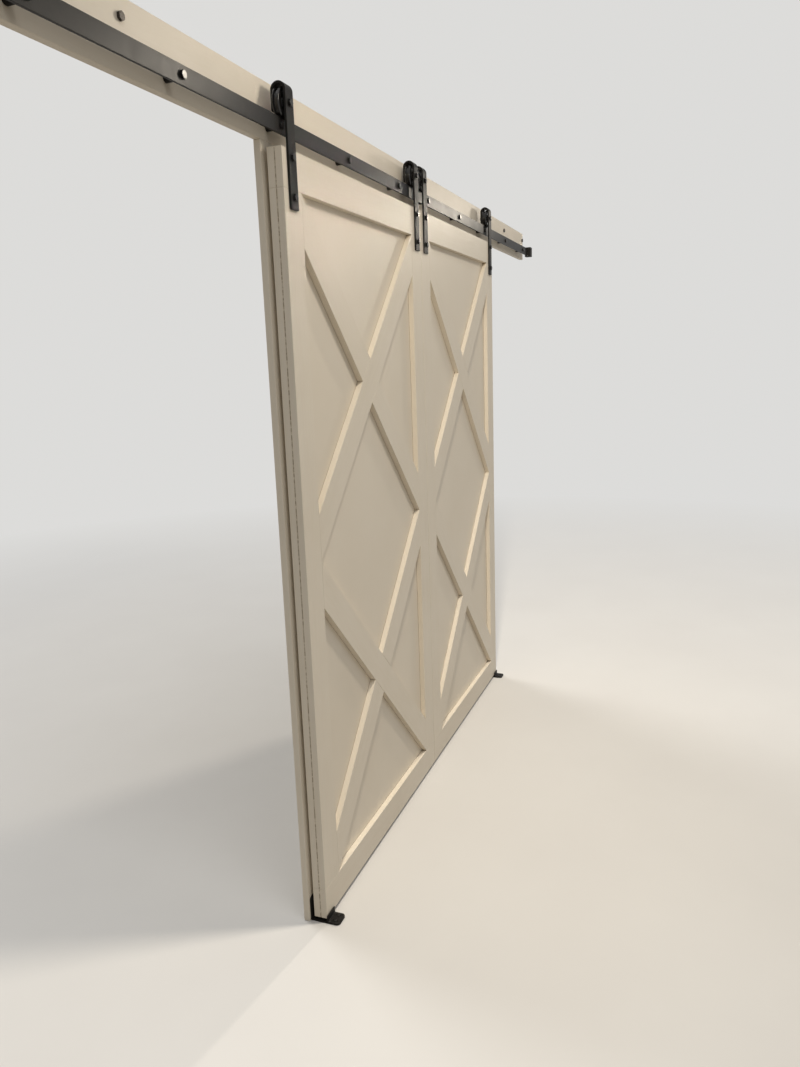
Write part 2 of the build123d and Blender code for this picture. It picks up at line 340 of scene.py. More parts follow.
@dataclass(frozen=True)
class WhitePaint:
    """Satin white paint, with shade painted darker into its joints and inner corners."""

    fresh: Colour = rgb(0.83, 0.762, 0.65)
    aged: Colour = rgb(0.775, 0.70, 0.575)
    # Painted shade: the colour that joints and inner corners are darkened towards.
    dust: Colour = rgb(0.30, 0.245, 0.175)
    # How far from a corner the painted shade reaches.
    joint: float = 4.5 * MM
    gloss: float = 0.4

    def painted(self, graph: Graph, age: Socket, specks: Socket) -> Socket:
        """The paint's colour, with painted shade in its joints and inner corners.

        Args:
            graph: the material in the making.
            age: how aged the paint is, from 0 to 1.
            specks: the pattern that breaks up the painted shade.

        Returns:
            The colour's socket.
        """
        # Painted shade: darker where ambient occlusion finds a joint or inner corner, broken up in specks.
        dusty = graph.maths("MULTIPLY", graph.occlusion_shade(self.joint), graph.ramp(specks, 0.2, 0.7, 0.45, 0.8))
        return graph.mix(dusty, graph.mix(age, self.fresh, self.aged), self.dust)


@dataclass(frozen=True)
class BrushedPaint(WhitePaint):
    """The paint as it is brushed along a wooden board."""

    run: Run = Run.LEVEL
    strokes: Pattern = Pattern(420, 3, 0.62, (34, 1, 1))
    grain: Pattern = Pattern(46, 3, 0.55, (14, 1, 1))
    patches: Pattern = Pattern(3.1, 3, 0.6)
    peel: Pattern = Pattern(900, 1)
    stroke_depth: float = 0.35 * MM
    peel_depth: float = 0.06 * MM
    smooth: float = 0.46
    dull: float = 0.6

    def material(self) -> bpy.types.Material:
        """Build the material."""
        graph = Surface(f"white_paint_{self.run.name.lower()}")
        strokes = graph.noise(self.strokes, self.run.value)
        grain = graph.noise(self.grain, self.run.value)
        age = graph.maths(
            "ADD",
            graph.ramp(graph.noise(self.patches), 0.3, 0.75, 0.0, 0.55),
            graph.ramp(strokes, 0.45, 0.8, 0.0, 0.35),
            graph.ramp(grain, 0.5, 0.8, 0.0, 0.25),
        )
        height = graph.maths("MULTIPLY", grain, 0.8)
        height = graph.maths("ADD", graph.maths("MULTIPLY", strokes, 0.5), height)
        relief = graph.bump(height, self.stroke_depth, 0.55)
        return graph.set(
            Base_Color=self.painted(graph, age, grain),
            Roughness=graph.ramp(strokes, 0.3, 0.75, self.smooth, self.dull),
            Specular_IOR_Level=self.gloss,
            Normal=graph.bump(graph.noise(self.peel), self.peel_depth, 0.5, relief),
        )


@dataclass(frozen=True)
class RolledPaint(WhitePaint):
    """The paint as it is rolled on a thin smooth panel, and darker in patches on the panel's narrow edges."""

    aged: Colour = rgb(0.785, 0.71, 0.59)
    # The colour that the panel's narrow edges are darkened to, in patches; it darkens the seam along the
    # leaf's edge.
    darker_edge: Colour = rgb(0.34, 0.27, 0.185)
    stipple: Pattern = Pattern(330, 3, 0.6)
    waves: Pattern = Pattern(5.0, 2)
    patches: Pattern = Pattern(2.3, 3, 0.6)
    misses: Pattern = Pattern(38, 4, 0.6, (1, 1, 0.3))
    stipple_depth: float = 0.12 * MM
    wave_depth: float = 1.2 * MM
    smooth: float = 0.48
    dull: float = 0.6

    def material(self) -> bpy.types.Material:
        """Build the material."""
        graph = Surface("white_paint_rolled")
        facing = graph.axis(graph.node("ShaderNodeTexCoord").outputs["Normal"], "Y")
        on_edge = graph.ramp(graph.maths("ABSOLUTE", facing), 0.7, 0.3)
        edge_share = graph.ramp(graph.noise(self.misses), 0.36, 0.56, 0.1, 0.9)
        stipple = graph.noise(self.stipple)
        age = graph.ramp(graph.noise(self.patches), 0.3, 0.75, 0.0, 0.8)
        painted = self.painted(graph, age, stipple)
        relief = graph.bump(graph.noise(self.waves), self.wave_depth, 0.5)
        return graph.set(
            Base_Color=graph.mix(graph.maths("MULTIPLY", on_edge, edge_share), painted, self.darker_edge),
            Roughness=graph.ramp(stipple, 0.3, 0.7, self.smooth, self.dull),
            Specular_IOR_Level=self.gloss,
            Normal=graph.bump(stipple, self.stipple_depth, 0.55, relief),
        )


@dataclass(frozen=True)
class PowderCoat:
    """Black powder coat on steel: a fine even grain, scuffed a little at the edges."""

    name: str = "black_powder_coat"
    body: Colour = rgb(0.0105, 0.0098, 0.0092)
    dusty: Colour = rgb(0.019, 0.0175, 0.0162)
    bare: Colour = rgb(0.16, 0.15, 0.14)
    grain: Pattern = Pattern(1500, 2, 0.6)
    cloud: Pattern = Pattern(26, 4, 0.6)
    rubs: Pattern = Pattern(130, 4, 0.7, (6, 1, 6))
    grain_depth: float = 0.03 * MM
    smooth: float = 0.46
    dull: float = 0.54
    gloss: float = 0.12
    edge: float = 0.5 * MM
    rolled_track: bool = False
    track_middle: float = -56.0 * MM
    track_top: float = 97.5 * MM

    def material(self) -> bpy.types.Material:
        """Build the material."""
        graph = Surface(self.name)
        cloud = graph.noise(self.cloud)
        rubs = graph.noise(self.rubs)
        scuffed = graph.maths("MULTIPLY", self.edges(graph), graph.ramp(rubs, 0.5, 0.72, 0.0, 0.6))
        if self.rolled_track:
            scuffed = graph.maths("MAXIMUM", scuffed, self.track(graph, rubs))
        coat = graph.mix(graph.ramp(cloud, 0.35, 0.7), self.body, self.dusty)
        return graph.set(
            Base_Color=graph.mix(scuffed, coat, self.bare),
            Metallic=graph.ramp(scuffed, 0.2, 0.8, 0.0, 0.85),
            Roughness=graph.ramp(cloud, 0.3, 0.7, self.smooth, self.dull),
            Specular_IOR_Level=self.gloss,
            Normal=graph.bump(graph.noise(self.grain), self.grain_depth, 0.5),
        )

    def edges(self, graph: Graph) -> Socket:
        """A value that is 1 at sharp edges and 0 on plain faces.

        Args:
            graph: the material in the making.

        Returns:
            The value's socket.
        """
        soft = graph.node("ShaderNodeBevel", samples=4)
        soft.inputs["Radius"].default_value = self.edge
        dot = graph.node("ShaderNodeVectorMath", operation="DOT_PRODUCT")
        graph.link(soft.outputs["Normal"], dot.inputs[0])
        graph.link(graph.node("ShaderNodeNewGeometry").outputs["Normal"], dot.inputs[1])
        return graph.ramp(dot.outputs["Value"], 0.97, 0.8)

    def track(self, graph: Graph, rubs: Socket) -> Socket:
        """The narrow line on the rail's top edge that the wheels have polished.

        Args:
            graph: the material in the making.
            rubs: the pattern that breaks it up.

        Returns:
            The value's socket.
        """
        place = graph.place()
        away = graph.maths("ABSOLUTE", graph.maths("SUBTRACT", graph.axis(place, "Y"), self.track_middle))
        narrow = graph.ramp(away, 2.4 * MM, 1.2 * MM)
        high = graph.ramp(graph.axis(place, "Z"), self.track_top - 0.3 * MM, self.track_top - 0.1 * MM)
        return graph.maths("MULTIPLY", narrow, high, graph.ramp(rubs, 0.32, 0.6, 0.1, 0.75))


@dataclass(frozen=True)
class MottledFinish:
    """A finish in two shades that change softly, over a fine relief."""

    name: str
    body: Colour
    stain: Colour
    mottle: Pattern
    relief: Pattern
    depth: float
    strength: float
    smooth: float
    dull: float
    metal: float = 0.0
    gloss: float = 0.5
    lacquer: float = 0.0
    lacquer_roughness: float = 0.03
    stain_from: float = 0.3
    stain_full: float = 0.7
    dull_full: float = 0.7

    def material(self) -> bpy.types.Material:
        """Build the material."""
        graph = Surface(self.name)
        mottle = graph.noise(self.mottle)
        return graph.set(
            Base_Color=graph.mix(graph.ramp(mottle, self.stain_from, self.stain_full), self.body, self.stain),
            Metallic=self.metal,
            Roughness=graph.ramp(mottle, 0.3, self.dull_full, self.smooth, self.dull),
            Specular_IOR_Level=self.gloss,
            Normal=graph.bump(graph.noise(self.relief), self.depth, self.strength),
            Coat_Weight=self.lacquer,
            Coat_Roughness=self.lacquer_roughness,
        )


GLOSS_BLACK = MottledFinish(
    "gloss_black_wheel", rgb(0.007, 0.0066, 0.0064), rgb(0.016, 0.015, 0.014),
    mottle=Pattern(60, 4, 0.6), relief=Pattern(220, 3, 0.6, (1, 40, 1)), depth=0.005 * MM, strength=0.25,
    smooth=0.17, dull=0.24, gloss=0.3, lacquer=0.35, lacquer_roughness=0.09,
    stain_from=0.4, stain_full=0.8, dull_full=0.75)
DARK_STEEL = MottledFinish(
    "dark_oxide_steel", rgb(0.07, 0.064, 0.058), rgb(0.04, 0.029, 0.021),
    mottle=Pattern(420, 4, 0.65), relief=Pattern(2200, 2), depth=0.04 * MM, strength=0.6,
    smooth=0.3, dull=0.55, metal=0.75, stain_from=0.4, stain_full=0.68)
GROUND_STEEL = MottledFinish(
    "ground_steel", rgb(0.5, 0.5, 0.51), rgb(0.6, 0.6, 0.6),
    mottle=Pattern(900, 2, 0.5, (1, 30, 1)), relief=Pattern(900, 2, 0.5, (1, 30, 1)), depth=0.01 * MM,
    strength=0.4, smooth=0.2, dull=0.32, metal=1.0)
SEAL_RUBBER = MottledFinish(
    "seal_rubber", rgb(0.014, 0.014, 0.014), rgb(0.026, 0.026, 0.026),
    mottle=Pattern(1800, 2), relief=Pattern(1800, 2), depth=0.03 * MM, strength=0.5,
    smooth=0.5, dull=0.7, stain_from=0.0, stain_full=1.0)


class Finishes:
    """The finished materials, each built once."""

    def __init__(self) -> None:
        """Build the materials."""
        self.boards = {run: BrushedPaint(run=run).material() for run in Run}
        self.panel = RolledPaint().material()
        self.steel = PowderCoat().material()
        self.rail = PowderCoat("black_rail", smooth=0.42, dull=0.48, gloss=0.17, rolled_track=True).material()
        self.bolts = PowderCoat("black_fasteners", smooth=0.27, dull=0.38, gloss=0.3).material()
        self.wheel = GLOSS_BLACK.material()
        self.lag = DARK_STEEL.material()
        self.ring = GROUND_STEEL.material()
        self.seal = SEAL_RUBBER.material()


# Solids


def outward(bm: BMesh) -> BMesh:
    """Turn a solid's faces outwards, in place."""
    bmesh.ops.recalc_face_normals(bm, faces=bm.faces[:])
    return bm


def turned(section: Sequence[Point], steps: int = 64, ease: float = 0.0) -> BMesh:
    """Turn a half section about Z.

    Args:
        section: radius and height of its points. It is closed, unless its ends lie on Z.
        steps: the number of flats round the piece.
        ease: the rounding of its sharp edges.

    Returns:
        The solid.
    """
    bm = bmesh.new()
    verts = [bm.verts.new((radius, 0, height)) for radius, height in section]
    edges = [bm.edges.new(pair) for pair in zip(verts, verts[1:])]
    if section[0][0] > 0:
        edges.append(bm.edges.new((verts[-1], verts[0])))
    bmesh.ops.spin(bm, geom=verts + edges, cent=(0, 0, 0), axis=(0, 0, 1), angle=2 * pi,
                   steps=steps, use_merge=True, use_duplicate=False)
    bmesh.ops.remove_doubles(bm, verts=bm.verts[:], dist=MERGE)
    outward(bm)
    if ease:
        round_edges(bm, ease)
    return bm


def tube(inner: float, outer: float, ends: Point, steps: int, ease: float) -> BMesh:
    """A tube about Z.

    Args:
        inner: the radius of its bore.
        outer: its outer radius.
        ends: the heights of its ends.
        steps: the number of flats round it.
        ease: the rounding of its edges.

    Returns:
        The solid.
    """
    first, last = ends
    return turned([(inner, first), (outer, first), (outer, last), (inner, last)], steps, ease)


def with_underside(section: list[Point]) -> list[Point]:
    """Half a section above z = 0, followed by its mirror image below."""
    return section + [(radius, -height) for radius, height in reversed(section)]


def sharp_edges(bm: BMesh, angle: float = 40.0) -> list[BMEdge]:
    """The edges where two faces meet at more than an angle in degrees."""
    limit = radians(angle)
    return [edge for edge in bm.edges if len(edge.link_faces) == 2 and edge.calc_face_angle(0.0) > limit]


def round_edges(bm: BMesh, width: float, segments: int = 3, edges: list[BMEdge] | None = None) -> None:
    """Round edges in place.

    Args:
        bm: the solid.
        width: how far the rounding reaches.
        segments: its number of facets.
        edges: the edges, or all the sharp ones.
    """
    geom = sharp_edges(bm) if edges is None else edges
    bmesh.ops.bevel(bm, geom=geom, offset=width, offset_type="OFFSET", segments=segments,
                    profile=0.5, affect="EDGES", clamp_overlap=True, material=-1)


def edges_at(bm: BMesh, lengthwise: bool, **place: float) -> list[BMEdge]:
    """The edges at a place, such as z=0.02.

    Args:
        bm: the solid.
        lengthwise: whether they run along X, or across it.
        place: the coordinates that both their ends have.

    Returns:
        The edges.
    """
    found = [edge for edge in bm.edges if all(
        abs(getattr(vert.co, axis) - value) < NEAR for vert in edge.verts for axis, value in place.items())]
    return [edge for edge in found if (abs(edge.verts[0].co.x - edge.verts[1].co.x) > NEAR) == lengthwise]


def flat_face(bm: BMesh, way: Sequence[float]) -> BMFace:
    """The largest of a solid's faces that look one way."""
    bm.normal_update()
    return max((face for face in bm.faces if face.normal.dot(way) > 0.99), key=BMFace.calc_area)


def new_verts(result: dict) -> list[BMVert]:
    """The vertices that an operator has made."""
    return [item for item in result["geom"] if isinstance(item, BMVert)]


def drawn(bm: BMesh, face: BMFace, way: Sequence[float]) -> BMFace:
    """Draw a bar out from its end face.

    Args:
        bm: the bar.
        face: its end face.
        way: how far it is drawn along each axis.

    Returns:
        The new end face.
    """
    made = bmesh.ops.extrude_face_region(bm, geom=[face])
    bmesh.ops.translate(bm, vec=way, verts=new_verts(made))
    return next(item for item in made["geom"] if isinstance(item, BMFace))


def boundary(bm: BMesh) -> list[BMEdge]:
    """The edges that only one face has."""
    return [edge for edge in bm.edges if edge.is_boundary]


def closed_loop(bm: BMesh, corners: Iterable[Sequence[float]]) -> list[BMEdge]:
    """Join new corners in a loop of edges."""
    verts = [bm.verts.new(corner) for corner in corners]
    return [bm.edges.new(pair) for pair in zip(verts, verts[1:] + verts[:1])]


def extrude_loop(bm: BMesh, edges: list[BMEdge], shape: Callable[[Vector], Vector]) -> list[BMEdge]:
    """Draw a band of faces from a loop of edges.

    Args:
        bm: the solid.
        edges: the loop.
        shape: gives each new vertex's place from the old one.

    Returns:
        The band's far loop.
    """
    made = bmesh.ops.extrude_edge_only(bm, edges=edges)
    for vert in new_verts(made):
        vert.co = shape(vert.co)
    return [item for item in made["geom"] if isinstance(item, BMEdge) and item.is_boundary]


def at_radius(radius: float, height: float) -> Callable[[Vector], Vector]:
    """A shape for extrude_loop: onto a level circle about Z.

    Args:
        radius: the circle's radius.
        height: its height.

    Returns:
        What moves one vertex.
    """
    def move(place: Vector) -> Vector:
        """Move one vertex."""
        flat = place.to_2d().normalized() * radius
        return Vector((flat.x, flat.y, height))
    return move


def hexagon_loop(bm: BMesh, flats: float, cuts: int = 0) -> list[BMEdge]:
    """A hexagon of edges at z = 0.

    Args:
        bm: the solid that it is added to.
        flats: its width across flats.
        cuts: how often each side is cut.

    Returns:
        The edges.
    """
    made = bmesh.ops.create_circle(bm, cap_ends=False, segments=6, radius=flats / sqrt(3))
    edges = list({edge for vert in made["verts"] for edge in vert.link_edges})
    if not cuts:
        return edges
    split = bmesh.ops.subdivide_edges(bm, edges=edges, cuts=cuts)
    return list(set(edges) | {item for item in split["geom"] if isinstance(item, BMEdge)})


def sink(bm: BMesh, rim: list[BMEdge], mouths: list[list[BMEdge]], depth: Vector, taper: float = 1.0) -> None:
    """Close a flat opening round the mouths of hollows, and sink the hollows.

    Args:
        bm: the solid.
        rim: the edges of the opening.
        mouths: the edges of each hollow's mouth, in the opening.
        depth: the way from a mouth to its floor.
        taper: the floor's size, as a share of its mouth.
    """
    bmesh.ops.triangle_fill(bm, use_beauty=True, use_dissolve=False, edges=rim + sum(mouths, []))
    shape = Matrix.Diagonal((taper, taper, 1))
    for mouth in mouths:
        floor = extrude_loop(bm, mouth, lambda place: shape @ place + depth)
        bmesh.ops.holes_fill(bm, edges=floor, sides=0)
    outward(bm)


def pocket(bm: BMesh, face: BMFace, outlines: list[Sequence[Vector]], depth: Vector) -> None:
    """Cut hollows into a flat face.

    Args:
        bm: the solid.
        face: the face.
        outlines: the corners of each hollow's mouth, on the face.
        depth: the way from a mouth to its floor.
    """
    rim = list(face.edges)
    bmesh.ops.delete(bm, geom=[face], context="FACES_ONLY")
    sink(bm, rim, [closed_loop(bm, outline) for outline in outlines], depth)


def mirrored(bm: BMesh) -> BMesh:
    """Turn a left-hand solid into the right-hand one, in place."""
    bmesh.ops.scale(bm, vec=(-1, 1, 1), verts=bm.verts[:])
    return outward(bm)


def from_front(x: float, y: float, z: float, roll: float = 0.0) -> Matrix:
    """A place for a fastener that is driven in from the front, with its head above z = 0."""
    return Matrix.Translation((x, y, z)) @ Matrix.Rotation(pi / 2, 4, "X") @ Matrix.Rotation(roll, 4, "Z")


def from_back(x: float, y: float, z: float, roll: float = 0.0) -> Matrix:
    """The opposite place: what is above z = 0 then points to the back."""
    return Matrix.Translation((x, y, z)) @ Matrix.Rotation(-pi / 2, 4, "X") @ Matrix.Rotation(roll, 4, "Z")


class Piece:
    """One object of the scene, gathered from closed solids."""

    def __init__(self, name: str, *materials: bpy.types.Material) -> None:
        """Start a piece.

        Args:
            name: the object's name.
            materials: its materials. A solid takes one of them by its number.
        """
        self.mesh = bpy.data.meshes.new(name)
        self.whole = bmesh.new()
        for material in materials:
            self.mesh.materials.append(material)

    def add(self, *solids: BMesh, places: Sequence[Matrix] = (Matrix(),), finish: int = 0) -> "Piece":
        """Add copies of solids, and free them.

        Args:
            solids: the solids.
            places: where their copies go.
            finish: the number of their material.

        Returns:
            The piece.
        """
        for solid in solids:
            for face in solid.faces:
                face.material_index = finish
            part = bpy.data.meshes.new("part")
            solid.to_mesh(part)
            solid.free()
            for place in places:
                start = len(self.whole.verts)
                self.whole.from_mesh(part)
                self.whole.verts.ensure_lookup_table()
                bmesh.ops.transform(self.whole, matrix=place, verts=self.whole.verts[start:])
            bpy.data.meshes.remove(part)
        return self

    def finish(self, body: str, slot: str, *nodes: str, sharp: float = 38.0) -> None:
        """Make the object and tie it to its body.

        Args:
            body: the body that it rides on.
            slot: the material slot of the record; not used.
            nodes: the nodes that it stands for.
            sharp: the angle in degrees from which an edge is shaded as one.
        """
        self.whole.to_mesh(self.mesh)
        self.whole.free()
        self.mesh.polygons.foreach_set("use_smooth", [True] * len(self.mesh.polygons))
        self.mesh.set_sharp_from_angle(angle=radians(sharp))
        piece = bpy.data.objects.new(self.mesh.name, self.mesh)
        bpy.context.scene.collection.objects.link(piece)
        even = piece.modifiers.new("even_shading", "WEIGHTED_NORMAL")
        even.keep_sharp = True
        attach(piece, body)
        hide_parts(*nodes)
        log.info("%s: %d faces on %s, for %s", piece.name, len(self.mesh.polygons), body, ", ".join(nodes))


# Fasteners


@dataclass(frozen=True)
class HexFastener:
    """Hexagon heads, nuts and shanks of the hardware."""

    flats: float = 16 * MM
    head: float = 6.4 * MM
    washer_radius: float = 7.5 * MM
    washer: float = 0.4 * MM
    washer_root: float = 0.2 * MM
    shank: float = 5 * MM
    nut: float = 5 * MM
    nut_play: float = 0.05 * MM
    crown_share: float = 0.465
    corner_slope: float = 0.577
    end_cut: float = 0.8 * MM
    pitch: float = 2.8 * MM
    core: float = 3.6 * MM
    crest: float = 4.7 * MM
    ridge_root: float = 0.3 * MM
    ridge_share: float = 0.36
    ridge_steps: int = 24
    ridge_end: float = 0.08
    neck: float = 0.5 * MM
    tip: float = 8 * MM
    tip_end: Point = (0.5 * MM, 0.4 * MM)

    def blank(self, height: float, bore: float = 0.0) -> BMesh:
        """A hexagon on z = 0, its upper corners cut back in a cone.

        Args:
            height: its height.
            bore: the radius of its hole, or 0.

        Returns:
            The solid.
        """
        bm = bmesh.new()
        crown = self.crown_share * self.flats

        def corner_cut(place: Vector) -> Vector:
            """Lift a vertex to the cone that cuts the corners."""
            return Vector((place.x, place.y, height - self.corner_slope * (place.to_2d().length - crown)))

        top = extrude_loop(bm, hexagon_loop(bm, self.flats, 7), corner_cut)
        extrude_loop(bm, [edge for edge in top if edge.verts[0].co.z > 0], at_radius(crown, height))
        if not bore:
            bmesh.ops.holes_fill(bm, edges=boundary(bm), sides=0)
            return outward(bm)
        for level in (height, 0):
            rim = [edge for edge in boundary(bm) if abs(edge.verts[0].co.z - level) < NEAR]
            extrude_loop(bm, rim, at_radius(bore, level))
        bmesh.ops.bridge_loops(bm, edges=boundary(bm))
        return outward(bm)

    def with_shank(self, shank: list[Point]) -> list[BMesh]:
        """A head above z = 0, the round face under it, and a shank.

        Args:
            shank: the shank's half section, from the head down.

        Returns:
            The solids.
        """
        head = self.blank(self.head - self.washer)
        bmesh.ops.translate(head, vec=(0, 0, self.washer), verts=head.verts[:])
        root = self.washer + self.washer_root
        face = turned([(0, root), (self.washer_radius, root), (self.washer_radius, 0), (0, 0)], 48)
        return [head, face, turned([(0, OVERLAP), (self.shank, OVERLAP)] + shank, 32)]

    def bolt(self, length: float) -> list[BMesh]:
        """A bolt whose plain shank has a cut end."""
        narrow = self.shank - self.end_cut
        return self.with_shank([(self.shank, self.end_cut - length), (narrow, -length), (0, -length)])

    def lag_screw(self, plain: float, thread: float) -> list[BMesh]:
        """A lag screw.

        Args:
            plain: the length of the plain shank.
            thread: the length of thread and point.

        Returns:
            The solids.
        """
        end = -plain - thread
        radius, rise = self.tip_end
        return self.with_shank([
            (self.shank, self.neck - plain), (self.core, -plain - self.neck), (self.core, end + self.tip),
            (radius, end + rise), (0, end),
        ]) + [self.lag_thread(plain, thread)]

    def lag_thread(self, plain: float, thread: float) -> BMesh:
        """The ridge wound round a lag screw's core and point.

        Args:
            plain: the length of the plain shank.
            thread: the length of thread and point.

        Returns:
            The solid.
        """
        bm = bmesh.new()
        start, end = -plain - self.pitch, -plain - thread
        turns = thread / self.pitch - 2
        steps = int(self.ridge_steps * turns)
        half = self.ridge_share * self.pitch
        root = self.core - self.ridge_root
        ring = closed_loop(bm, [(root, 0, start + half), (self.crest, 0, start), (root, 0, start - half)])
        bmesh.ops.contextual_create(bm, geom=ring)
        made = bmesh.ops.spin(
            bm, geom=bm.verts[:] + ring, cent=(0, 0, 0), axis=(0, 0, 1), angle=2 * pi * turns, steps=steps,
            dvec=(0, 0, -self.pitch * turns / steps), use_duplicate=False)
        last = [item for item in made["geom_last"] if isinstance(item, BMEdge)]
        bmesh.ops.contextual_create(bm, geom=last)
        for vert in bm.verts:
            share = min(max((vert.co.z - end) / self.tip, self.ridge_end), 1.0)
            vert.co.x *= share
            vert.co.y *= share
        return outward(bm)

    def nut_blank(self) -> BMesh:
        """A thin nut on z = 0."""
        return self.blank(self.nut, self.shank + self.nut_play)


@dataclass(frozen=True)
class SmallScrew:
    """A pan-head screw with a cross recess."""

    radius: float = 4.5 * MM
    height: float = 2.4 * MM
    side: float = 0.7 * MM
    land: float = 2.7 * MM
    shank: float = 2.4 * MM
    root: float = 0.5 * MM
    cross_arm: float = 2.1 * MM
    cross_width: float = 0.42 * MM
    cross_depth: float = 1.5 * MM
    cross_taper: float = 0.7
    point: float = 4 * MM
    point_radius: float = 0.3 * MM

    def head(self) -> BMesh:
        """The head, from z = 0 up, with a cross sunk in its flat crown."""
        crown = [(self.land + (self.radius - self.land) * cos(step * pi / 12),
                  self.side + (self.height - self.side) * sin(step * pi / 12)) for step in range(7)]
        bm = turned([(0, 0), (self.radius, 0)] + crown, 40)
        rim = boundary(bm)
        arm, half = self.cross_arm, self.cross_width
        corners = [Matrix.Rotation(quarter * pi / 2, 3, "Z") @ Vector((x, y, self.height))
                   for quarter in range(4) for x, y in ((arm, -half), (arm, half), (half, half))]
        sink(bm, rim, [closed_loop(bm, corners)], Vector((0, 0, -self.cross_depth)), self.cross_taper)
        return bm

    def whole(self, length: float) -> list[BMesh]:
        """The head, and the shank below z = 0 with a pointed end."""
        return [self.head(), turned([
            (0, self.root), (self.shank, self.root), (self.shank, self.point - length),
            (self.point_radius, -length), (0, -length)], 20)]


@dataclass(frozen=True)
class SetScrew:
    """A headless screw with a hexagon socket."""

    radius: float = 3 * MM
    length: float = 18.5 * MM
    socket: float = 3 * MM
    depth: float = 3 * MM
    end_cut: float = 0.4 * MM

    def blank(self) -> BMesh:
        """The screw, its socket at z = 0."""
        end = self.radius - self.end_cut
        bm = turned([(0, -self.length), (end, -self.length), (self.radius, self.end_cut - self.length),
                     (self.radius, -self.end_cut), (end, 0)], 32)
        rim = boundary(bm)
        sink(bm, rim, [hexagon_loop(bm, self.socket)], Vector((0, 0, -self.depth)))
        return bm


# Sub-assemblies


def dress(node: str, material: bpy.types.Material) -> None:
    """Give a carried-over node its material.

    Args:
        node: the node's name.
        material: the material.
    """
    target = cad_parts[node]
    if not target.material_slots:
        target.data.materials.append(material)
    for slot in target.material_slots:
        slot.material = material
    log.info("%s: dressed in %s", node, material.name)


@dataclass
class Woodwork:
    """The painted boards of both leaves, the casing and the header board."""

    finishes: Finishes
    left_half: tuple[tuple[str, Run], ...] = (
        ("front_top_rail", Run.LEVEL),
        ("front_bottom_rail", Run.LEVEL),
        ("back_rails", Run.LEVEL),
        ("front_outer_stile", Run.UPRIGHT),
        ("front_inner_stile", Run.UPRIGHT),
        ("back_stiles", Run.UPRIGHT),
        ("casing", Run.UPRIGHT),
        ("upper_brace", Run.RISING),
        ("lower_half_braces", Run.RISING),
        ("lower_brace", Run.FALLING),
        ("upper_half_braces", Run.FALLING),
    )

    def build(self) -> None:
        """Dress every board along its own grain."""
        boards = self.finishes.boards
        for side in Side:
            for name, run in self.left_half:
                dress(side.prefix + name, boards[run if side is Side.LEFT else run.mirrored])
            dress(side.prefix + "panel", self.finishes.panel)
        for name in ("head_casing", "header_board"):
            dress(name, boards[Run.LEVEL])


